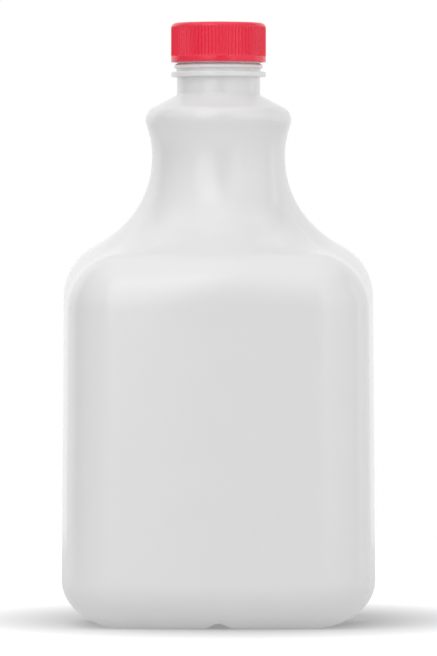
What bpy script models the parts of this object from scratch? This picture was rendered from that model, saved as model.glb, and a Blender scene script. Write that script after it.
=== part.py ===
"""A milk jug of white blow-moulded plastic, full and shut with a ribbed red screw cap.

The jug stands on its base with the origin at the middle of the base, in metres, +Z up and the front
facing -Y. Going up, it is a bowed box with round corners, a rounded shoulder, a flare, a waist to
hold it by, a collar, a short neck with two rings, and the cap. It is opaque and shut, so the jug and
its milk are one solid. The cap is a cup of its own that sits over the neck with a small gap.
"""
import math

import bmesh
import bpy
from mathutils import Vector

MM = 0.001

# The box of the body, in millimetres
BODY_WIDTH = 133.6
BODY_DEPTH = 148.0
BODY_CORNER_RADIUS = 25.5
FRONT_BOW_ANGLE = 6.5
SIDE_BOW_ANGLE = 5.6
WALL_DRAFT = 0.9

# The rounded shoulder, highest in the middle of the sides and lowest at the corners
SHOULDER_RADIUS = 24.6
SHOULDER_SIDE_Z = 142.0
SHOULDER_FRONT_Z = 138.6
SHOULDER_CORNER_Z = 136.0

# The flare from the shoulder to the waist. Each of its curves leaves the shoulder towards a point
# of one circle, which dips at the four corners. That rounds the boxy foot off on its way up.
WAIST_RADIUS = 28.6
WAIST_Z = 202.6
FLARE_WAIST_HANDLE = 17.9
FLARE_CIRCLE_RADIUS = 38.8
FLARE_CIRCLE_Z = 171.7
FLARE_CIRCLE_CORNER_Z = 165.3
FLARE_SPREAD = 30.0

# The grip above the waist and the collar
GRIP_ARC_RADIUS = 40.0
COLLAR_ARC_RADIUS = 6.0
COLLAR_RADIUS = 31.3
COLLAR_Z = 218.4
COLLAR_UNDERSIDE_ANGLE = 18.0
COLLAR_SLOPE = 27.3

# The neck with its support ring and bead
NECK_RADIUS = 17.95
NECK_FILLET = 1.5
NECK_TOP_Z = 258.1
SUPPORT_RING_RADIUS = 20.5
SUPPORT_RING_Z = 237.9
SUPPORT_RING_HEIGHT = 2.2
SUPPORT_RING_EDGE = 0.35
STEP_RADIUS = 18.6
BEAD_RADIUS = 19.25
BEAD_Z = 241.3
BEAD_HEIGHT = 2.0

# The base
BASE_ROUND_WIDTH = 24.6
BASE_ROUND_HEIGHT = 19.5
STANDING_RING_WIDTH = 9.0
RECESS_HEIGHT = 3.2
RECESS_SLOPE_WIDTH = 9.0
CHANNEL_HALF_WIDTH = 6.0
CHANNEL_HEIGHT = 2.2
CUTTER_BELOW_BASE = 0.2
CUTTER_PAST_WALL = 5.0

# The cap
CAP_RADIUS = 20.5
CAP_BOTTOM_Z = 243.5
CAP_TOP_Z = 260.7
CAP_CORNER_RADIUS = 2.0
CAP_CORNER_START_ANGLE = 22.0
CAP_CROWN_RISE = 0.45
CAP_RIM_BEVEL = 0.3
CAP_BAND_TOP_Z = 246.7
CAP_INNER_RADIUS = 18.9
CAP_CEILING_Z = 258.7
RIB_COUNT = 82
RIB_DEPTH = 0.4
RIB_BOTTOM_Z = 247.2
RIB_TOP_Z = 258.3

# How finely the curves are divided
BOW_STEPS = 5
CORNER_STEPS = 6
SHOULDER_STEPS = 7
FLARE_STEPS = 12
BASE_STEPS = 7
GRIP_STEPS = 5
COLLAR_STEPS = 7
NECK_FILLET_STEPS = 3
BEAD_STEPS = 4
RECESS_STEPS = 3
CHANNEL_STEPS = 14
CAP_CORNER_STEPS = 4

# Edges that turn by more than this are shaded sharp, in degrees
SHARP_ANGLE = 35.0


def clear_scene():
    for item in list(bpy.data.objects):
        bpy.data.objects.remove(item, do_unlink=True)


def plastic(name, colour, roughness):
    """A Principled plastic with one colour, roughness and no metal."""
    material = bpy.data.materials.new(name)
    material.use_nodes = True
    shader = material.node_tree.nodes["Principled BSDF"]
    shader.inputs["Base Color"].default_value = (*colour, 1.0)
    shader.inputs["Roughness"].default_value = roughness
    shader.inputs["Metallic"].default_value = 0.0
    return material


def fractions(steps):
    return [step / steps for step in range(steps + 1)]


def arc(radius, height, size, first_angle, last_angle, steps):
    """Points (radius, height) of an arc in the profile plane, its angles measured from level."""
    points = []
    for share in fractions(steps):
        angle = math.radians(first_angle + (last_angle - first_angle) * share)
        points.append((radius + size * math.cos(angle), height + size * math.sin(angle)))
    return points


class BodyOutline:
    """The outline of the body from above: four bowed walls joined by four round corners.

    Each place on it is found by the direction in which the wall faces there. All the arcs keep their
    centres when the outline is moved in or out, so every loop of the body has the same places.
    """

    def __init__(self):
        front = math.radians(FRONT_BOW_ANGLE)
        side = math.radians(SIDE_BOW_ANGLE)
        width = BODY_WIDTH / 2 - BODY_CORNER_RADIUS
        depth = BODY_DEPTH / 2 - BODY_CORNER_RADIUS
        front_drop = 1 - math.cos(front)
        side_drop = 1 - math.cos(side)
        scale = math.sin(front) * math.sin(side) - front_drop * side_drop
        front_extra = (width * math.sin(side) - depth * side_drop) / scale
        side_extra = (depth * math.sin(front) - width * front_drop) / scale
        self.front_radius = front_extra + BODY_CORNER_RADIUS
        self.side_radius = side_extra + BODY_CORNER_RADIUS
        self.corner_centre = (front_extra * math.sin(front), side_extra * math.sin(side))
        self.directions = self.wall_directions()

    def wall_directions(self):
        """Facing directions in degrees, once round, closer together where the corners turn."""
        side = [SIDE_BOW_ANGLE * share for share in fractions(BOW_STEPS)]
        corner_turn = 90 - FRONT_BOW_ANGLE - SIDE_BOW_ANGLE
        corner = [SIDE_BOW_ANGLE + corner_turn * share for share in fractions(CORNER_STEPS)]
        front = [90 - FRONT_BOW_ANGLE * (1 - share) for share in fractions(BOW_STEPS)]
        quarter = side + corner[1:] + front[1:]
        half = quarter + [180 - angle for angle in reversed(quarter[:-1])]
        return half + [180 + angle for angle in half[1:-1]]

    def place(self, direction):
        """The arc centre, arc radius, outward normal, and how far the place is into a wall's middle.

        The last two numbers are 1 in the middle of a side wall or of the front or back, and fall
        smoothly to 0 where the corner begins.
        """
        angle = math.radians(direction)
        normal = Vector((math.cos(angle), math.sin(angle), 0))
        folded = math.degrees(math.atan2(abs(normal.y), abs(normal.x)))
        side_middle = max(0.0, 1 - (folded / SIDE_BOW_ANGLE) ** 2) ** 2
        front_middle = max(0.0, 1 - ((90 - folded) / FRONT_BOW_ANGLE) ** 2) ** 2
        if folded < SIDE_BOW_ANGLE:
            centre = Vector((BODY_WIDTH / 2 - self.side_radius, 0, 0))
            radius = self.side_radius
        elif folded > 90 - FRONT_BOW_ANGLE:
            centre = Vector((0, BODY_DEPTH / 2 - self.front_radius, 0))
            radius = self.front_radius
        else:
            centre = Vector((*self.corner_centre, 0))
            radius = BODY_CORNER_RADIUS
        centre.x = math.copysign(centre.x, centre.x * normal.x)
        centre.y = math.copysign(centre.y, centre.y * normal.y)
        return centre, radius, normal, side_middle, front_middle


def body_columns(outline):
    """One column of points for each place round the body, from the standing ring up to the waist."""
    columns = []
    for direction in outline.directions:
        centre, radius, normal, side_middle, front_middle = outline.place(direction)
        shoulder_z = SHOULDER_CORNER_Z
        shoulder_z += side_middle * (SHOULDER_SIDE_Z - SHOULDER_CORNER_Z)
        shoulder_z += front_middle * (SHOULDER_FRONT_Z - SHOULDER_CORNER_Z)

        column = []
        for share in reversed(fractions(BASE_STEPS)):
            turn = math.radians(90 * share)
            out = WALL_DRAFT - BASE_ROUND_WIDTH * (1 - math.cos(turn))
            point = centre + normal * (radius + out)
            point.z = BASE_ROUND_HEIGHT * (1 - math.sin(turn))
            column.append(point)

        outward = (centre + normal * (radius + FLARE_SPREAD)).normalized()
        foot_handle = outward * FLARE_CIRCLE_RADIUS
        foot_handle.z = FLARE_CIRCLE_CORNER_Z
        foot_handle.z += (side_middle + front_middle) * (FLARE_CIRCLE_Z - FLARE_CIRCLE_CORNER_Z)

        ball = centre + normal * (radius - SHOULDER_RADIUS)
        ball.z = shoulder_z
        top_turn = tangent_turn(foot_handle - ball, normal)
        for share in fractions(SHOULDER_STEPS):
            turn = top_turn * share
            upright = Vector((0, 0, math.sin(turn)))
            column.append(ball + SHOULDER_RADIUS * (normal * math.cos(turn) + upright))

        column.extend(flare_points(column[-1], foot_handle, outward))
        columns.append(column)
    return columns


def tangent_turn(to_handle, normal):
    """How far up the shoulder's arc its tangent points straight at the flare's first handle."""
    inward = -to_handle.dot(normal)
    reach = math.hypot(inward, to_handle.z)
    return math.atan2(to_handle.z, -inward) - math.acos(SHOULDER_RADIUS / reach)


def flare_points(foot, foot_handle, outward):
    """A smooth curve from its foot on the shoulder, which it leaves out, up to the round waist."""
    waist = outward * WAIST_RADIUS
    waist.z = WAIST_Z
    waist_handle = waist - Vector((0, 0, FLARE_WAIST_HANDLE))
    points = []
    for share in fractions(FLARE_STEPS)[1:]:
        rest = 1 - share
        point = foot * rest ** 3 + foot_handle * (3 * rest ** 2 * share)
        point += waist_handle * (3 * rest * share ** 2) + waist * share ** 3
        points.append(point)
    return points


def neck_profile():
    """Points (radius, height) of the round upper part, from just above the waist to the top."""
    profile = []
    collar_centre = COLLAR_RADIUS - COLLAR_ARC_RADIUS
    crease_z = COLLAR_Z - COLLAR_ARC_RADIUS * math.sin(math.radians(COLLAR_UNDERSIDE_ANGLE))
    for share in fractions(GRIP_STEPS)[1:-1]:
        rise = (crease_z - WAIST_Z) * share
        bulge = GRIP_ARC_RADIUS - math.sqrt(GRIP_ARC_RADIUS ** 2 - rise ** 2)
        profile.append((WAIST_RADIUS + bulge, WAIST_Z + rise))
    collar_end = 90 - COLLAR_SLOPE
    collar_start = -COLLAR_UNDERSIDE_ANGLE
    profile += arc(collar_centre, COLLAR_Z, COLLAR_ARC_RADIUS, collar_start, collar_end, COLLAR_STEPS)

    slope = math.radians(COLLAR_SLOPE)
    cone_radius, cone_z = profile[-1]
    fillet_centre = NECK_RADIUS + NECK_FILLET
    fillet_z = cone_z + (cone_radius - fillet_centre) * math.tan(slope) + NECK_FILLET / math.cos(slope)
    profile += arc(fillet_centre, fillet_z, NECK_FILLET, 180 + collar_end, 180, NECK_FILLET_STEPS)

    ring_half = SUPPORT_RING_HEIGHT / 2
    ring_edge = SUPPORT_RING_EDGE
    profile += [
        (NECK_RADIUS, SUPPORT_RING_Z - ring_half),
        (SUPPORT_RING_RADIUS - ring_edge, SUPPORT_RING_Z - ring_half + ring_edge / 2),
        (SUPPORT_RING_RADIUS, SUPPORT_RING_Z - ring_half + 2 * ring_edge),
        (SUPPORT_RING_RADIUS, SUPPORT_RING_Z + ring_half - 2 * ring_edge),
        (SUPPORT_RING_RADIUS - ring_edge, SUPPORT_RING_Z + ring_half - ring_edge / 2),
        (STEP_RADIUS, SUPPORT_RING_Z + ring_half + ring_edge / 2),
    ]
    bead_half = BEAD_HEIGHT / 2
    bead_centre = BEAD_RADIUS - bead_half
    profile.append((STEP_RADIUS, BEAD_Z - bead_half))
    profile += arc(bead_centre, BEAD_Z, bead_half, -45, 60, BEAD_STEPS)
    profile.append((NECK_RADIUS, BEAD_Z + bead_half + ring_edge))
    profile.append((NECK_RADIUS, NECK_TOP_Z))
    return profile


def recess_loops(ring):
    """Loops of the raised middle of the base, each the standing ring's inner edge drawn inward."""
    half_width = max(point.x for point in ring)
    half_depth = max(point.y for point in ring)
    loops = []
    for share in fractions(RECESS_STEPS):
        turn = math.radians(90 * share)
        inset = STANDING_RING_WIDTH + RECESS_SLOPE_WIDTH * math.sin(turn)
        height = RECESS_HEIGHT * (1 - math.cos(turn))
        scale_x = (half_width - inset) / half_width
        scale_y = (half_depth - inset) / half_depth
        loops.append([Vector((point.x * scale_x, point.y * scale_y, height)) for point in ring])
    return loops


def add_loop(mesh, points):
    return [mesh.verts.new(point * MM) for point in points]


def join_loops(mesh, loops):
    """Faces between each loop and the next. They face out where the loops go up an outer wall."""
    for lower, upper in zip(loops, loops[1:]):
        for index in range(len(lower)):
            following = (index + 1) % len(lower)
            mesh.faces.new((lower[index], lower[following], upper[following], upper[index]))


def close_loop(mesh, loop, height, facing_up):
    """A fan of triangles from a loop to a middle point on the axis."""
    middle = mesh.verts.new((0, 0, height * MM))
    for index in range(len(loop)):
        following = (index + 1) % len(loop)
        edge = (loop[index], loop[following]) if facing_up else (loop[following], loop[index])
        mesh.faces.new((*edge, middle))


def finish_mesh(mesh, name, material, sharp_angle):
    """The finished object of a closed mesh, shaded smooth except across sharp edges."""
    bmesh.ops.recalc_face_normals(mesh, faces=mesh.faces)
    data = bpy.data.meshes.new(name)
    mesh.to_mesh(data)
    mesh.free()
    data.materials.append(material)
    data.shade_smooth()
    data.set_sharp_from_angle(angle=math.radians(sharp_angle))
    piece = bpy.data.objects.new(name, data)
    bpy.context.scene.collection.objects.link(piece)
    return piece


def circle(radius, height, turns):
    """A level circle of points at the given turns, in radians."""
    return [Vector((radius * math.cos(turn), radius * math.sin(turn), height)) for turn in turns]


def even_turns(count):
    return [2 * math.pi * index / count for index in range(count)]


def make_jug():
    """The moulded jug with its milk: body, flare, collar and neck as one closed solid."""
    columns = body_columns(BodyOutline())
    body_loops = [list(points) for points in zip(*columns)]
    base_loops = list(reversed(recess_loops(body_loops[0])))
    waist_turns = [math.atan2(point.y, point.x) for point in body_loops[-1]]
    round_loops = [circle(radius, height, waist_turns) for radius, height in neck_profile()]

    mesh = bmesh.new()
    loops = [add_loop(mesh, points) for points in base_loops + body_loops + round_loops]
    join_loops(mesh, loops)
    close_loop(mesh, loops[0], RECESS_HEIGHT, False)
    close_loop(mesh, loops[-1], NECK_TOP_Z, True)
    return finish_mesh(mesh, "jug", plastic("white_polyethylene", (0.80, 0.80, 0.79), 0.38), SHARP_ANGLE)


def make_channel_cutter():
    """The arch-shaped bar that cuts the pinched channel along the base, from front to back."""
    radius = (CHANNEL_HALF_WIDTH ** 2 + CHANNEL_HEIGHT ** 2) / (2 * CHANNEL_HEIGHT)
    centre_z = CHANNEL_HEIGHT - radius
    lowest = -math.asin((centre_z + CUTTER_BELOW_BASE) / radius)
    outline = []
    for share in fractions(CHANNEL_STEPS):
        turn = lowest + (math.pi - 2 * lowest) * share
        outline.append((radius * math.cos(turn), centre_z + radius * math.sin(turn)))

    mesh = bmesh.new()
    reach = BODY_DEPTH / 2 + CUTTER_PAST_WALL
    ends = []
    for y in (-reach, reach):
        ends.append([mesh.verts.new((x * MM, y * MM, z * MM)) for x, z in outline])
    mesh.faces.new(ends[0])
    mesh.faces.new(list(reversed(ends[1])))
    for index in range(len(outline)):
        following = (index + 1) % len(outline)
        mesh.faces.new((ends[0][following], ends[0][index], ends[1][index], ends[1][following]))
    cutter = finish_mesh(mesh, "channel_cutter", plastic("cutter_grey", (0.5, 0.5, 0.5), 0.5), SHARP_ANGLE)
    cutter.hide_render = True
    cutter.display_type = "WIRE"
    return cutter


def cut_channel(jug, cutter):
    cut = jug.modifiers.new("base_channel", "BOOLEAN")
    cut.operation = "DIFFERENCE"
    cut.solver = "EXACT"
    cut.object = cutter


def make_cap():
    """The screw cap: a cup with a smooth band below, upright ribs round it and a low crown."""
    turns = even_turns(2 * RIB_COUNT)
    corner = CAP_CORNER_RADIUS
    rim = CAP_RIM_BEVEL
    wall_profile = [
        (CAP_INNER_RADIUS, CAP_CEILING_Z, 0),
        (CAP_INNER_RADIUS, CAP_BOTTOM_Z + rim, 0),
        (CAP_INNER_RADIUS + rim, CAP_BOTTOM_Z, 0),
        (CAP_RADIUS - rim, CAP_BOTTOM_Z, 0),
        (CAP_RADIUS, CAP_BOTTOM_Z + rim, 0),
        (CAP_RADIUS, CAP_BAND_TOP_Z - rim, 0),
        (CAP_RADIUS - rim, CAP_BAND_TOP_Z, 0),
        (CAP_RADIUS, RIB_BOTTOM_Z, RIB_DEPTH),
        (CAP_RADIUS, RIB_TOP_Z, RIB_DEPTH),
    ]
    crown_z = CAP_TOP_Z - CAP_CROWN_RISE
    start = CAP_CORNER_START_ANGLE
    crown_arc = arc(CAP_RADIUS - corner, crown_z - corner, corner, start, 90, CAP_CORNER_STEPS)
    wall_profile += [(radius, height, 0) for radius, height in crown_arc]
    wall_profile.append((CAP_RADIUS / 2, CAP_TOP_Z - CAP_CROWN_RISE / 4, 0))

    mesh = bmesh.new()
    loops = []
    for radius, height, rib_depth in wall_profile:
        points = circle(radius, height, turns)
        for index in range(1, len(turns), 2):
            points[index] *= (radius - rib_depth) / radius
            points[index].z = height
        loops.append(add_loop(mesh, points))
    join_loops(mesh, loops)
    close_loop(mesh, loops[0], CAP_CEILING_Z, False)
    close_loop(mesh, loops[-1], CAP_TOP_Z, True)
    return finish_mesh(mesh, "cap", plastic("red_polypropylene", (0.78, 0.045, 0.075), 0.35), SHARP_ANGLE)


clear_scene()
jug_piece = make_jug()
cut_channel(jug_piece, make_channel_cutter())
make_cap()
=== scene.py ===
"""The looks of a full three litre milk jug: white moulded plastic under a ribbed red screw cap.

The jug stands on its base at the origin, in metres, +Z up, with its front facing -Y.
"""
import math

import bmesh
import bpy
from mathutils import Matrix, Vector


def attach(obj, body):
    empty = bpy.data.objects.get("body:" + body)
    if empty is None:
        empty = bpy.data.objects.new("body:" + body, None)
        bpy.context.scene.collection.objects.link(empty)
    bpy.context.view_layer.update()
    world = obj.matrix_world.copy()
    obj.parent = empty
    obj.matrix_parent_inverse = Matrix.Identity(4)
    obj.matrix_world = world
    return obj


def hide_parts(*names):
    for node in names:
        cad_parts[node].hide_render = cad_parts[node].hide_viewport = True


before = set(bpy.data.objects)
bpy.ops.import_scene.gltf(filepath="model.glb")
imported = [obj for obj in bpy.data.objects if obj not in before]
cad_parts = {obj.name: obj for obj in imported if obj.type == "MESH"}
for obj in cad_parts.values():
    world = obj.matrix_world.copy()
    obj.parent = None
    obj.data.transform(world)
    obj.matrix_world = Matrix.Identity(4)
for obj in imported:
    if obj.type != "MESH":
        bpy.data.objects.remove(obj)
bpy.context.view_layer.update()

# The jug body. One blow-moulded shell of white high-density polyethylene: a bowed box that flares
# into a waist to hold it by, a collar and a short neck. It was blown in a two-part mould that
# closed along the front and back, which leaves the pinched channel under the base. Sizes are in
# millimetres, and MM turns them into the scene's metres.
MM = 0.001

BODY_WIDTH = 133.6
BODY_DEPTH = 148.0
BODY_CORNER_RADIUS = 25.5
FRONT_BOW_ANGLE = 6.5
SIDE_BOW_ANGLE = 5.6
WALL_DRAFT = 0.9

SHOULDER_RADIUS = 24.6
SHOULDER_SIDE_Z = 142.0
SHOULDER_FRONT_Z = 138.6
SHOULDER_CORNER_Z = 136.0

WAIST_RADIUS = 28.8
WAIST_Z = 202.6
FLARE_WAIST_HANDLE = 17.9
FLARE_CIRCLE_RADIUS = 38.8
FLARE_CIRCLE_Z = 171.7
FLARE_CIRCLE_CORNER_Z = 165.3
FLARE_SPREAD = 30.0

BASE_ROUND_WIDTH = 24.6
BASE_ROUND_HEIGHT = 19.5
STANDING_RING_WIDTH = 9.0
RECESS_HEIGHT = 3.2
RECESS_SLOPE_WIDTH = 9.0
CHANNEL_HALF_WIDTH = 6.0
CHANNEL_HEIGHT = 2.2
CHANNEL_BLEND = 0.25
CHANNEL_ARCH = 1.5

BOW_STEPS = 12
CHANNEL_COLUMN_GAP = 0.6
CORNER_STEPS = 22
BASE_STEPS = 22
WALL_STEPS = 24
SHOULDER_STEPS = 22
FLARE_STEPS = 48
RECESS_STEPS = 12
RECESS_FLOOR_STEPS = 8
CHANNEL_EDGE_COLUMNS = 4


def fractions(steps):
    return [step / steps for step in range(steps + 1)]


class BodyOutline:
    """The body seen from above: four bowed walls joined by four round corners.

    Each place on it is found by the direction in which the wall faces there. All the arcs keep
    their centres when the outline is moved in or out, so every loop has the same places.
    """

    def __init__(self):
        front = math.radians(FRONT_BOW_ANGLE)
        side = math.radians(SIDE_BOW_ANGLE)
        width = BODY_WIDTH / 2 - BODY_CORNER_RADIUS
        depth = BODY_DEPTH / 2 - BODY_CORNER_RADIUS
        front_drop = 1 - math.cos(front)
        side_drop = 1 - math.cos(side)
        scale = math.sin(front) * math.sin(side) - front_drop * side_drop
        front_extra = (width * math.sin(side) - depth * side_drop) / scale
        side_extra = (depth * math.sin(front) - width * front_drop) / scale
        self.front_radius = front_extra + BODY_CORNER_RADIUS
        self.side_radius = side_extra + BODY_CORNER_RADIUS
        self.corner_centre = (front_extra * math.sin(front), side_extra * math.sin(side))

    def directions(self):
        """Facing directions in degrees, once round, close together where the channel runs out."""
        side = [SIDE_BOW_ANGLE * share for share in fractions(BOW_STEPS)]
        corner_turn = 90 - FRONT_BOW_ANGLE - SIDE_BOW_ANGLE
        corner = [SIDE_BOW_ANGLE + corner_turn * share for share in fractions(CORNER_STEPS)]
        channel_reach = CHANNEL_HALF_WIDTH + CHANNEL_EDGE_COLUMNS * CHANNEL_COLUMN_GAP
        channel_turn = math.degrees(channel_reach / self.front_radius)
        channel_steps = round(channel_reach / CHANNEL_COLUMN_GAP)
        front_turn = FRONT_BOW_ANGLE - channel_turn
        front = [90 - channel_turn - front_turn * (1 - share) for share in fractions(BOW_STEPS)]
        middle = [90 - channel_turn * (1 - share) for share in fractions(channel_steps)]
        quarter = side + corner[1:] + front[1:] + middle[1:]
        half = quarter + [180 - angle for angle in reversed(quarter[:-1])]
        return half + [180 + angle for angle in half[1:-1]]

    def place(self, direction):
        """The arc's centre, its radius, the outward normal, and how far into a wall's middle."""
        angle = math.radians(direction)
        normal = Vector((math.cos(angle), math.sin(angle), 0))
        folded = math.degrees(math.atan2(abs(normal.y), abs(normal.x)))
        side_middle = max(0.0, 1 - (folded / SIDE_BOW_ANGLE) ** 2) ** 2
        front_middle = max(0.0, 1 - ((90 - folded) / FRONT_BOW_ANGLE) ** 2) ** 2
        if folded < SIDE_BOW_ANGLE:
            centre = Vector((BODY_WIDTH / 2 - self.side_radius, 0, 0))
            radius = self.side_radius
        elif folded > 90 - FRONT_BOW_ANGLE:
            centre = Vector((0, BODY_DEPTH / 2 - self.front_radius, 0))
            radius = self.front_radius
        else:
            centre = Vector((*self.corner_centre, 0))
            radius = BODY_CORNER_RADIUS
        centre.x = math.copysign(centre.x, centre.x * normal.x)
        centre.y = math.copysign(centre.y, centre.y * normal.y)
        return centre, radius, normal, side_middle, front_middle


def body_column(outline, direction):
    """The points of one place round the body, from the standing ring up to the waist."""
    centre, radius, normal, side_middle, front_middle = outline.place(direction)
    shoulder_z = SHOULDER_CORNER_Z
    shoulder_z += side_middle * (SHOULDER_SIDE_Z - SHOULDER_CORNER_Z)
    shoulder_z += front_middle * (SHOULDER_FRONT_Z - SHOULDER_CORNER_Z)

    column = []
    for share in reversed(fractions(BASE_STEPS)):
        turn = math.radians(90 * share)
        out = WALL_DRAFT - BASE_ROUND_WIDTH * (1 - math.cos(turn))
        point = centre + normal * (radius + out)
        point.z = BASE_ROUND_HEIGHT * (1 - math.sin(turn))
        column.append(point)
    for share in fractions(WALL_STEPS)[1:-1]:
        point = centre + normal * (radius + WALL_DRAFT * (1 - share))
        point.z = BASE_ROUND_HEIGHT + (shoulder_z - BASE_ROUND_HEIGHT) * share
        column.append(point)

    outward = (centre + normal * (radius + FLARE_SPREAD)).normalized()
    foot_handle = outward * FLARE_CIRCLE_RADIUS
    foot_handle.z = FLARE_CIRCLE_CORNER_Z
    foot_handle.z += (side_middle + front_middle) * (FLARE_CIRCLE_Z - FLARE_CIRCLE_CORNER_Z)

    ball = centre + normal * (radius - SHOULDER_RADIUS)
    ball.z = shoulder_z
    to_handle = foot_handle - ball
    inward = -to_handle.dot(normal)
    top_turn = math.atan2(to_handle.z, -inward)
    top_turn -= math.acos(SHOULDER_RADIUS / math.hypot(inward, to_handle.z))
    for share in fractions(SHOULDER_STEPS):
        turn = top_turn * share
        upright = Vector((0, 0, math.sin(turn)))
        column.append(ball + SHOULDER_RADIUS * (normal * math.cos(turn) + upright))

    foot = column[-1]
    waist = outward * WAIST_RADIUS
    waist.z = WAIST_Z
    waist_handle = waist - Vector((0, 0, FLARE_WAIST_HANDLE))
    for share in fractions(FLARE_STEPS)[1:]:
        rest = 1 - share
        point = foot * rest ** 3 + foot_handle * (3 * rest ** 2 * share)
        point += waist_handle * (3 * rest * share ** 2) + waist * share ** 3
        column.append(point)
    return column


def recess_loops(ring):
    """The raised middle of the base: the standing ring's inner edge, drawn inward and up."""
    half_width = max(point.x for point in ring)
    half_depth = max(point.y for point in ring)
    loops = []
    for share in fractions(RECESS_STEPS):
        inset = STANDING_RING_WIDTH + RECESS_SLOPE_WIDTH * share
        height = RECESS_HEIGHT * (0.5 - 0.5 * math.cos(math.pi * share))
        scale_x = (half_width - inset) / half_width
        scale_y = (half_depth - inset) / half_depth
        loops.append([Vector((point.x * scale_x, point.y * scale_y, height)) for point in ring])
    edge = loops[-1]
    for share in fractions(RECESS_FLOOR_STEPS)[1:-1]:
        rest = 1 - share
        loops.append([Vector((point.x * rest, point.y * rest, point.z)) for point in edge])
    return loops


def channel_height(x):
    """How high the pinched channel lifts the base at a distance from its middle line."""
    share = min(1.0, abs(x) / CHANNEL_HALF_WIDTH)
    return CHANNEL_HEIGHT * math.cos(math.pi / 2 * share) ** CHANNEL_ARCH


def lift_over_channel(point):
    """The point raised out of the channel, with a soft edge where the two surfaces meet."""
    rise = channel_height(point.x)
    if rise <= 0 or point.z > CHANNEL_HEIGHT + 2 * CHANNEL_BLEND:
        return point
    middle = (point.z + rise) / 2
    apart = (point.z - rise) / 2
    corner = math.sqrt(apart ** 2 + CHANNEL_BLEND ** 2 * (rise / CHANNEL_HEIGHT))
    return Vector((point.x, point.y, middle + corner))


# The neck above the waist, as the mould turns it: grip, collar, cone, support ring and bead
GRIP_ARC_RADIUS = 40.0
COLLAR_ARC_RADIUS = 6.0
COLLAR_RADIUS = 31.5
COLLAR_Z = 218.4
COLLAR_UNDERSIDE_ANGLE = 18.0
COLLAR_SLOPE = 27.3
NECK_RADIUS = 17.95
NECK_FILLET = 1.5
NECK_TOP_Z = 258.1
SUPPORT_RING_RADIUS = 20.5
SUPPORT_RING_Z = 237.9
SUPPORT_RING_HEIGHT = 2.2
STEP_RADIUS = 18.2
BEAD_RADIUS = 19.25
BEAD_Z = 241.3
BEAD_HEIGHT = 2.0
BEAD_UNDERSIDE_ANGLE = -45.0
BEAD_TOP_ANGLE = 60.0
RING_EDGE = 0.35

GRIP_STEPS = 20
COLLAR_STEPS = 20
CONE_STEPS = 10
NECK_FILLET_STEPS = 8
RING_EDGE_STEPS = 5
BEAD_STEPS = 15


def arc(radius, height, size, first_angle, last_angle, steps):
    """Points (radius, height) of an arc in the profile plane, its angles measured from level."""
    points = []
    for share in fractions(steps):
        angle = math.radians(first_angle + (last_angle - first_angle) * share)
        points.append((radius + size * math.cos(angle), height + size * math.sin(angle)))
    return points


def neck_profile():
    """Points (radius, height) from just above the waist to the top of the neck."""
    profile = []
    crease_z = COLLAR_Z - COLLAR_ARC_RADIUS * math.sin(math.radians(COLLAR_UNDERSIDE_ANGLE))
    for share in fractions(GRIP_STEPS)[1:-1]:
        rise = (crease_z - WAIST_Z) * share
        bulge = GRIP_ARC_RADIUS - math.sqrt(GRIP_ARC_RADIUS ** 2 - rise ** 2)
        profile.append((WAIST_RADIUS + bulge, WAIST_Z + rise))
    collar_end = 90 - COLLAR_SLOPE
    collar_start = -COLLAR_UNDERSIDE_ANGLE
    collar_centre = COLLAR_RADIUS - COLLAR_ARC_RADIUS
    profile += arc(collar_centre, COLLAR_Z, COLLAR_ARC_RADIUS, collar_start, collar_end, COLLAR_STEPS)

    slope = math.radians(COLLAR_SLOPE)
    cone_radius, cone_z = profile[-1]
    fillet_centre = NECK_RADIUS + NECK_FILLET
    fillet_z = cone_z + (cone_radius - fillet_centre) * math.tan(slope) + NECK_FILLET / math.cos(slope)
    fillet = arc(fillet_centre, fillet_z, NECK_FILLET, 180 + collar_end, 180, NECK_FILLET_STEPS)
    for share in fractions(CONE_STEPS)[1:-1]:
        radius = cone_radius + (fillet[0][0] - cone_radius) * share
        profile.append((radius, cone_z + (fillet[0][1] - cone_z) * share))
    profile += fillet

    ring_bottom = SUPPORT_RING_Z - SUPPORT_RING_HEIGHT / 2
    ring_top = SUPPORT_RING_Z + SUPPORT_RING_HEIGHT / 2
    edge = SUPPORT_RING_RADIUS - RING_EDGE
    profile.append((NECK_RADIUS, ring_bottom - RING_EDGE))
    profile += arc(NECK_RADIUS + RING_EDGE, ring_bottom - RING_EDGE, RING_EDGE, 180, 90, RING_EDGE_STEPS)
    profile += arc(edge, ring_bottom + RING_EDGE, RING_EDGE, -90, 0, RING_EDGE_STEPS)
    profile += arc(edge, ring_top - RING_EDGE, RING_EDGE, 0, 90, RING_EDGE_STEPS)
    profile += arc(STEP_RADIUS + RING_EDGE, ring_top + RING_EDGE, RING_EDGE, 270, 180, RING_EDGE_STEPS)
    bead_half = BEAD_HEIGHT / 2
    bead_centre = BEAD_RADIUS - bead_half
    profile.append((STEP_RADIUS, BEAD_Z - bead_half))
    profile += arc(bead_centre, BEAD_Z, bead_half, BEAD_UNDERSIDE_ANGLE, BEAD_TOP_ANGLE, BEAD_STEPS)
    profile.append((NECK_RADIUS, BEAD_Z + bead_half + RING_EDGE))
    profile.append((NECK_RADIUS, NECK_TOP_Z))
    return profile


def circle(radius, height, turns):
    return [Vector((radius * math.cos(turn), radius * math.sin(turn), height)) for turn in turns]


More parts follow.
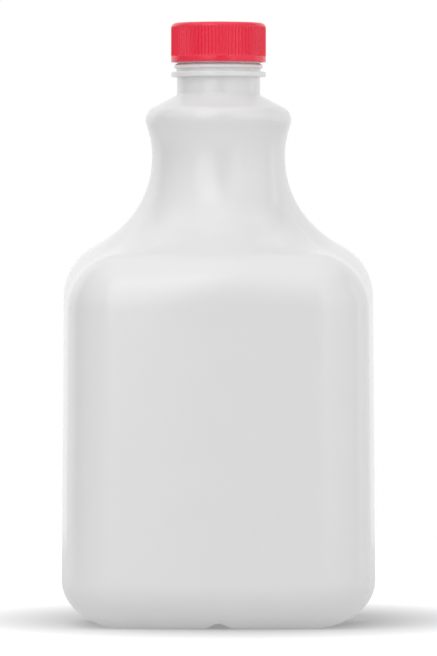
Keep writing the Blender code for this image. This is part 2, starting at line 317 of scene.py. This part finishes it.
def skin_loops(mesh, loops, bottom_z, top_z):
    """A closed skin over level loops of points, with a middle point at the bottom and the top."""
    rows = [[mesh.verts.new(point * MM) for point in points] for points in loops]
    count = len(rows[0])
    for lower, upper in zip(rows, rows[1:]):
        for index in range(count):
            following = (index + 1) % count
            mesh.faces.new((lower[index], lower[following], upper[following], upper[index]))
    bottom = mesh.verts.new((0, 0, bottom_z * MM))
    top = mesh.verts.new((0, 0, top_z * MM))
    for index in range(count):
        following = (index + 1) % count
        mesh.faces.new((rows[0][following], rows[0][index], bottom))
        mesh.faces.new((rows[-1][index], rows[-1][following], top))


SHARP_EDGE_ANGLE = 40.0


def finish_piece(mesh, name, material):
    """The mesh as a piece of the scene, smooth except across its sharp edges."""
    bmesh.ops.recalc_face_normals(mesh, faces=mesh.faces)
    data = bpy.data.meshes.new(name)
    mesh.to_mesh(data)
    mesh.free()
    data.materials.append(material)
    data.shade_smooth()
    data.set_sharp_from_angle(angle=math.radians(SHARP_EDGE_ANGLE))
    piece = bpy.data.objects.new(name, data)
    bpy.context.scene.collection.objects.link(piece)
    return piece


def linear(hex_colour):
    """A linear colour from an sRGB hex value such as "E6E6E5"."""
    channels = []
    for start in (0, 2, 4):
        value = int(hex_colour[start:start + 2], 16) / 255
        channels.append(value / 12.92 if value <= 0.04045 else ((value + 0.055) / 1.055) ** 2.4)
    return (*channels, 1.0)


def add_node(tree, kind, settings, links=None):
    """A node with its properties and socket values set, and its sockets linked to others."""
    made = tree.nodes.new(kind)
    for name, value in settings.items():
        if isinstance(name, int) or name in made.inputs:
            made.inputs[name].default_value = value
        else:
            setattr(made, name, value)
    for name, source in (links or {}).items():
        tree.links.new(source, made.inputs[name])
    return made


# Blow-moulded white polyethylene, pigmented and filled with milk: the mould's fine blasted grain
# turns gloss into a satin sheen under a waxy skin that keeps soft highlights, and the resin lets
# light in a little way, so it looks milky.
POLYETHYLENE_WHITE = "E9E9E9"
POLYETHYLENE_THIN_WALL = "E7E7E7"
POLYETHYLENE_IOR = 1.54
POLYETHYLENE_ROUGHNESS = (0.38, 0.41)
POLISHED_SKIN = 0.7
POLISHED_SKIN_ROUGHNESS = 0.2
MILKY_SHARE = 0.15
MILKY_DEPTH = 1.2 * MM
# The real grain is about 0.05 mm and too fine to show, so it is drawn five times as coarse
GRAIN_SIZE = 0.25 * MM
GRAIN_HEIGHT = 0.02 * MM
GRAIN_STRENGTH = 0.12
# The wall shrinks unevenly as it cools, in faint waves about 18 mm apart
WALL_WAVE_SIZE = 18.0 * MM
WALL_WAVE_HEIGHT = 0.12 * MM
WALL_WAVE_STRENGTH = 0.1
# A noise pattern stays between these values nearly everywhere
NOISE_LOW = 0.3
NOISE_HIGH = 0.7
CLOUD_DETAIL = 3.0
GRAIN_DETAIL = 2.0


def make_polyethylene():
    material = bpy.data.materials.new("blow_moulded_white_polyethylene")
    material.use_nodes = True
    tree = material.node_tree
    shader = tree.nodes["Principled BSDF"]
    shader.inputs["IOR"].default_value = POLYETHYLENE_IOR
    shader.inputs["Metallic"].default_value = 0.0
    shader.inputs["Coat Weight"].default_value = POLISHED_SKIN
    shader.inputs["Coat Roughness"].default_value = POLISHED_SKIN_ROUGHNESS
    shader.inputs["Subsurface Weight"].default_value = MILKY_SHARE
    shader.inputs["Subsurface Radius"].default_value = (1.0, 1.0, 1.0)
    shader.inputs["Subsurface Scale"].default_value = MILKY_DEPTH
    place = add_node(tree, "ShaderNodeTexCoord", {}).outputs["Object"]
    cloud = add_node(
        tree, "ShaderNodeTexNoise", {"Scale": 1 / WALL_WAVE_SIZE, "Detail": CLOUD_DETAIL}, {"Vector": place}
    )
    white = add_node(
        tree, "ShaderNodeMix",
        {"data_type": "RGBA", 6: linear(POLYETHYLENE_THIN_WALL), 7: linear(POLYETHYLENE_WHITE)},
        {0: cloud.outputs["Fac"]},
    )
    tree.links.new(white.outputs[2], shader.inputs["Base Color"])
    low, high = POLYETHYLENE_ROUGHNESS
    gloss = add_node(
        tree, "ShaderNodeMapRange",
        {"From Min": NOISE_LOW, "From Max": NOISE_HIGH, "To Min": low, "To Max": high},
        {"Value": cloud.outputs["Fac"]},
    )
    tree.links.new(gloss.outputs["Result"], shader.inputs["Roughness"])
    grain = add_node(
        tree, "ShaderNodeTexNoise", {"Scale": 1 / GRAIN_SIZE, "Detail": GRAIN_DETAIL}, {"Vector": place}
    )
    grain_bump = add_node(
        tree, "ShaderNodeBump", {"Strength": GRAIN_STRENGTH, "Distance": GRAIN_HEIGHT},
        {"Height": grain.outputs["Fac"]},
    )
    wave_bump = add_node(
        tree, "ShaderNodeBump", {"Strength": WALL_WAVE_STRENGTH, "Distance": WALL_WAVE_HEIGHT},
        {"Height": cloud.outputs["Fac"], "Normal": grain_bump.outputs["Normal"]},
    )
    tree.links.new(wave_bump.outputs["Normal"], shader.inputs["Normal"])
    return material


def make_jug():
    outline = BodyOutline()
    columns = [body_column(outline, direction) for direction in outline.directions()]
    body_loops = [list(points) for points in zip(*columns)]
    base_loops = list(reversed(recess_loops(body_loops[0])))
    lower_loops = [[lift_over_channel(point) for point in loop] for loop in base_loops + body_loops]
    waist_turns = [math.atan2(point.y, point.x) for point in body_loops[-1]]
    round_loops = [circle(radius, height, waist_turns) for radius, height in neck_profile()]
    mesh = bmesh.new()
    skin_loops(mesh, lower_loops + round_loops, RECESS_HEIGHT, NECK_TOP_Z)
    return finish_piece(mesh, "jug_moulding", make_polyethylene())


jug = make_jug()
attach(jug, "root")
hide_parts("jug")

# The screw cap. An injection-moulded cup of red polypropylene with upright grip ribs, a smooth
# band below them and a low crown. It is screwed down over the neck until it seals.
CAP_RADIUS = 20.5
CAP_BOTTOM_Z = 243.2
CAP_TOP_Z = 260.7
CAP_CORNER_RADIUS = 2.3
CAP_CROWN_RISE = 0.45
CAP_BAND_TOP_Z = 245.5
CAP_INNER_RADIUS = 18.9
CAP_CEILING_Z = 258.7
CAP_RIM = 0.3
RIB_COUNT = 82
RIB_DEPTH = 0.5
RIB_BOTTOM_Z = 246.2
RIB_TOP_Z = 258.8
RIB_END_LENGTH = 0.9

RIB_COLUMNS = 8
RIB_END_STEPS = 6
RIB_LENGTH_STEPS = 12
CAP_RIM_STEPS = 4
CAP_CORNER_STEPS = 24
CROWN_STEPS = 12


def smooth(share):
    """A rise from 0 to 1 with soft ends."""
    share = min(1.0, max(0.0, share))
    return share * share * (3 - 2 * share)


def groove(turn_share):
    """How deep the cap's side is at a place across one rib, 0 on its crest and 1 in the groove."""
    return 0.5 - 0.5 * math.cos(2 * math.pi * turn_share)


def groove_share(height):
    """How much of a groove's full depth there is at a height: all of it between the ribs' ends."""
    above_band = (height - CAP_BAND_TOP_Z) / (RIB_BOTTOM_Z - CAP_BAND_TOP_Z)
    below_top = (RIB_TOP_Z - height) / RIB_END_LENGTH
    return smooth(above_band) * smooth(below_top)


def cap_profile():
    """Points (radius, height, share of the groove's depth), from the ceiling inside to the crown."""
    profile = [
        (CAP_INNER_RADIUS, CAP_CEILING_Z, 0.0),
        (CAP_INNER_RADIUS, CAP_BOTTOM_Z + CAP_RIM, 0.0),
    ]
    rim_z = CAP_BOTTOM_Z + CAP_RIM
    inner_rim = arc(CAP_INNER_RADIUS + CAP_RIM, rim_z, CAP_RIM, 180, 270, CAP_RIM_STEPS)
    outer_rim = arc(CAP_RADIUS - CAP_RIM, rim_z, CAP_RIM, -90, 0, CAP_RIM_STEPS)
    profile += [(radius, height, 0.0) for radius, height in inner_rim + outer_rim]
    crown_z = CAP_TOP_Z - CAP_CROWN_RISE
    corner_z = crown_z - CAP_CORNER_RADIUS
    rib_end = RIB_BOTTOM_Z - CAP_BAND_TOP_Z
    rib_length = corner_z - RIB_BOTTOM_Z
    side = [CAP_BAND_TOP_Z + rib_end * share for share in fractions(RIB_END_STEPS)]
    side += [RIB_BOTTOM_Z + rib_length * share for share in fractions(RIB_LENGTH_STEPS)[1:-1]]
    profile += [(CAP_RADIUS, height, groove_share(height)) for height in side]
    corner = arc(CAP_RADIUS - CAP_CORNER_RADIUS, corner_z, CAP_CORNER_RADIUS, 0, 90, CAP_CORNER_STEPS)
    profile += [(radius, height, groove_share(height)) for radius, height in corner]
    flat_radius = corner[-1][0]
    for share in fractions(CROWN_STEPS)[1:-1]:
        radius = flat_radius * (1 - share)
        profile.append((radius, crown_z + CAP_CROWN_RISE * (1 - (radius / flat_radius) ** 2), 0.0))
    return profile


# Injection-moulded red polypropylene: a polished mould gives an even, soft gloss, and the strong
# pigment keeps its colour rich in the grooves.
POLYPROPYLENE_RED = "F62C49"
POLYPROPYLENE_DEEP_RED = "F32A46"
POLYPROPYLENE_IOR = 1.49
POLYPROPYLENE_ROUGHNESS = (0.24, 0.28)
FLOW_MARK_SIZE = 6.0 * MM
CAP_GRAIN_STRENGTH = 0.1


def make_polypropylene():
    material = bpy.data.materials.new("injection_moulded_red_polypropylene")
    material.use_nodes = True
    tree = material.node_tree
    shader = tree.nodes["Principled BSDF"]
    shader.inputs["IOR"].default_value = POLYPROPYLENE_IOR
    shader.inputs["Metallic"].default_value = 0.0
    place = add_node(tree, "ShaderNodeTexCoord", {}).outputs["Object"]
    flow = add_node(
        tree, "ShaderNodeTexNoise", {"Scale": 1 / FLOW_MARK_SIZE, "Detail": CLOUD_DETAIL}, {"Vector": place}
    )
    red = add_node(
        tree, "ShaderNodeMix",
        {"data_type": "RGBA", 6: linear(POLYPROPYLENE_DEEP_RED), 7: linear(POLYPROPYLENE_RED)},
        {0: flow.outputs["Fac"]},
    )
    tree.links.new(red.outputs[2], shader.inputs["Base Color"])
    low, high = POLYPROPYLENE_ROUGHNESS
    gloss = add_node(
        tree, "ShaderNodeMapRange",
        {"From Min": NOISE_LOW, "From Max": NOISE_HIGH, "To Min": low, "To Max": high},
        {"Value": flow.outputs["Fac"]},
    )
    tree.links.new(gloss.outputs["Result"], shader.inputs["Roughness"])
    grain = add_node(
        tree, "ShaderNodeTexNoise", {"Scale": 1 / GRAIN_SIZE, "Detail": GRAIN_DETAIL}, {"Vector": place}
    )
    bump = add_node(
        tree, "ShaderNodeBump", {"Strength": CAP_GRAIN_STRENGTH, "Distance": GRAIN_HEIGHT},
        {"Height": grain.outputs["Fac"]},
    )
    tree.links.new(bump.outputs["Normal"], shader.inputs["Normal"])
    return material


def make_cap():
    count = RIB_COUNT * RIB_COLUMNS
    turns = [2 * math.pi * index / count for index in range(count)]
    loops = []
    for radius, height, depth in cap_profile():
        points = []
        for index, turn in enumerate(turns):
            reach = radius - RIB_DEPTH * depth * groove(index / RIB_COLUMNS)
            points.append(Vector((reach * math.cos(turn), reach * math.sin(turn), height)))
        loops.append(points)
    mesh = bmesh.new()
    skin_loops(mesh, loops, CAP_CEILING_Z, CAP_TOP_Z)
    return finish_piece(mesh, "cap_moulding", make_polypropylene())


cap = make_cap()
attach(cap, "root")
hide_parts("cap")

# The table the jug stands on for the picture: a plain pale board, larger than the view. It glows,
# and its glow holds a painted shadow: an oval of low glow round the jug, longest towards the back,
# rising further out so that it fades into white. The picture shows that painted shadow, and the jug
# gets an even glow from the board.
TABLE_RADIUS = 1.5
TABLE_SIDES = 96
TABLE_WHITE = "AAAAAA"
TABLE_ROUGHNESS = 0.9
TABLE_GLOSS = 0.1
TABLE_GLOW = 0.15
TABLE_GLOW_FAR = 0.68
TABLE_GLOW_START = 0.06
TABLE_GLOW_END = 0.13
TABLE_GLOW_ON_JUG = 0.35
PAINTED_SHADE_CENTRE = (0.006, 0.08, 0)
PAINTED_SHADE_LENGTH = 2.2


def make_table():
    material = bpy.data.materials.new("matt_white_board_painted_shade")
    material.use_nodes = True
    tree = material.node_tree
    shader = tree.nodes["Principled BSDF"]
    shader.inputs["Roughness"].default_value = TABLE_ROUGHNESS
    shader.inputs["Specular IOR Level"].default_value = TABLE_GLOSS
    shader.inputs["Base Color"].default_value = linear(TABLE_WHITE)
    place = add_node(tree, "ShaderNodeTexCoord", {}).outputs["Object"]
    # Painted shadow: the glow is low in an oval round the jug, longest towards the back, and rises outside
    # it
    shade = add_node(
        tree, "ShaderNodeMapping",
        {"vector_type": "TEXTURE", "Location": PAINTED_SHADE_CENTRE, "Scale": (1, PAINTED_SHADE_LENGTH, 1)},
        {"Vector": place},
    )
    away = add_node(tree, "ShaderNodeVectorMath", {"operation": "LENGTH"}, {0: shade.outputs["Vector"]})
    glow = add_node(
        tree, "ShaderNodeMapRange",
        {"From Min": TABLE_GLOW_START, "From Max": TABLE_GLOW_END,
         "To Min": TABLE_GLOW, "To Max": TABLE_GLOW_FAR},
        {"Value": away.outputs["Value"]},
    )
    seen = add_node(tree, "ShaderNodeLightPath", {}).outputs["Is Camera Ray"]
    shown = add_node(
        tree, "ShaderNodeMix", {2: TABLE_GLOW_ON_JUG}, {0: seen, 3: glow.outputs["Result"]}
    )
    shader.inputs["Emission Color"].default_value = (1, 1, 1, 1)
    tree.links.new(shown.outputs[0], shader.inputs["Emission Strength"])
    mesh = bmesh.new()
    turns = [2 * math.pi * index / TABLE_SIDES for index in range(TABLE_SIDES)]
    mesh.faces.new([mesh.verts.new(point) for point in circle(TABLE_RADIUS, 0, turns)])
    return finish_piece(mesh, "table", material)


table = make_table()

# The camera stands level and straight in front, far enough away that the sides hardly converge.
# The picture is 656 rows high, and at the jug a row is 0.4325 mm.
PICTURE_ROWS = 656
ROW_HEIGHT = 0.4325 * MM
CAMERA_DISTANCE = 3.9
CAMERA_Z = 0.1283
NEAREST_SEEN = 0.1
FARTHEST_SEEN = 20.0

lens = bpy.data.cameras.new("front_view")
lens.sensor_fit = "VERTICAL"
lens.angle = 2 * math.atan(PICTURE_ROWS * ROW_HEIGHT / 2 / CAMERA_DISTANCE)
lens.clip_start = NEAREST_SEEN
lens.clip_end = FARTHEST_SEEN
camera = bpy.data.objects.new("front_view", lens)
camera.location = (0, -CAMERA_DISTANCE, CAMERA_Z)
camera.rotation_euler = (math.radians(90), 0, 0)
bpy.context.scene.collection.objects.link(camera)
bpy.context.scene.camera = camera
bpy.context.scene.view_settings.view_transform = "Standard"

# Soft studio light: a white surround that glows most behind the jug and at both sides of its
# front, two tall strip panels in front and one at the right. Directions are counted from the
# camera's side and from level, in degrees. A glow has a direction, the cosines where it begins and
# is full, and a strength. A panel has a direction, a width and height in metres, and its watts.
SURROUND_GLOWS = [
    ("behind", 180, 0, 0.42, 0.52, 0.60),
    ("behind_right", 150, 0, 0.60, 1.0, 0.33),
    ("behind_left", -150, 0, 0.60, 1.0, 0.41),
    ("right", 105, 0, 0.85, 1.0, 0.18),
    ("front_right", 60, 0, 0.60, 1.0, 0.93),
    ("front_left", -60, 0, 0.60, 1.0, 0.38),
    ("high_left", -120, 48, 0.60, 1.0, 0.20),
    ("high_front_right", 60, 48, 0.60, 1.0, 0.33),
    ("high_front_left", -60, 48, 0.60, 1.0, 0.52),
    ("overhead", 0, 90, 0.60, 1.0, 0.79),
]
PANEL_DISTANCE = 1.5
PANELS = [
    ("left_strip_panel", -22, 30, 0.85, 1.7, 7.0),
    ("right_strip_panel", 30, 25, 0.4, 1.5, 1.5),
    ("right_side_panel", 108, 10, 0.25, 1.5, 1.8),
]


def towards(azimuth, elevation):
    turn = math.radians(azimuth)
    rise = math.radians(elevation)
    return Vector((math.sin(turn) * math.cos(rise), -math.cos(turn) * math.cos(rise), math.sin(rise)))


def make_surround():
    """The surround lights the jug unevenly and is seen as plain white."""
    world = bpy.data.worlds.new("white_surround")
    world.use_nodes = True
    tree = world.node_tree
    direction = add_node(tree, "ShaderNodeTexCoord", {}).outputs["Generated"]
    strength = None
    for name, azimuth, elevation, reach, full, most in SURROUND_GLOWS:
        facing = add_node(
            tree, "ShaderNodeVectorMath",
            {"operation": "DOT_PRODUCT", 1: towards(azimuth, elevation)}, {0: direction}
        )
        glow = add_node(
            tree, "ShaderNodeMapRange",
            {"name": name, "interpolation_type": "SMOOTHSTEP", "From Min": reach, "From Max": full,
             "To Max": most},
            {"Value": facing.outputs["Value"]},
        ).outputs["Result"]
        if strength:
            glow = add_node(tree, "ShaderNodeMath", {"operation": "ADD"}, {0: strength, 1: glow}).outputs[0]
        strength = glow
    seen = add_node(tree, "ShaderNodeLightPath", {}).outputs["Is Camera Ray"]
    shown = add_node(tree, "ShaderNodeMix", {3: 1.0}, {0: seen, 2: strength})
    tree.links.new(shown.outputs[0], tree.nodes["Background"].inputs["Strength"])
    tree.nodes["Background"].inputs["Color"].default_value = (1, 1, 1, 1)
    bpy.context.scene.world = world


def add_panel(name, azimuth, elevation, width, height, power):
    light = bpy.data.lights.new(name, "AREA")
    light.shape = "RECTANGLE"
    light.size = width
    light.size_y = height
    light.energy = power
    panel = bpy.data.objects.new(name, light)
    to_panel = towards(azimuth, elevation)
    panel.location = Vector((0, 0, CAMERA_Z)) + to_panel * PANEL_DISTANCE
    panel.rotation_euler = to_panel.to_track_quat("Z", "Y").to_euler()
    panel.visible_camera = False
    bpy.context.scene.collection.objects.link(panel)


make_surround()
for panel in PANELS:
    add_panel(*panel)
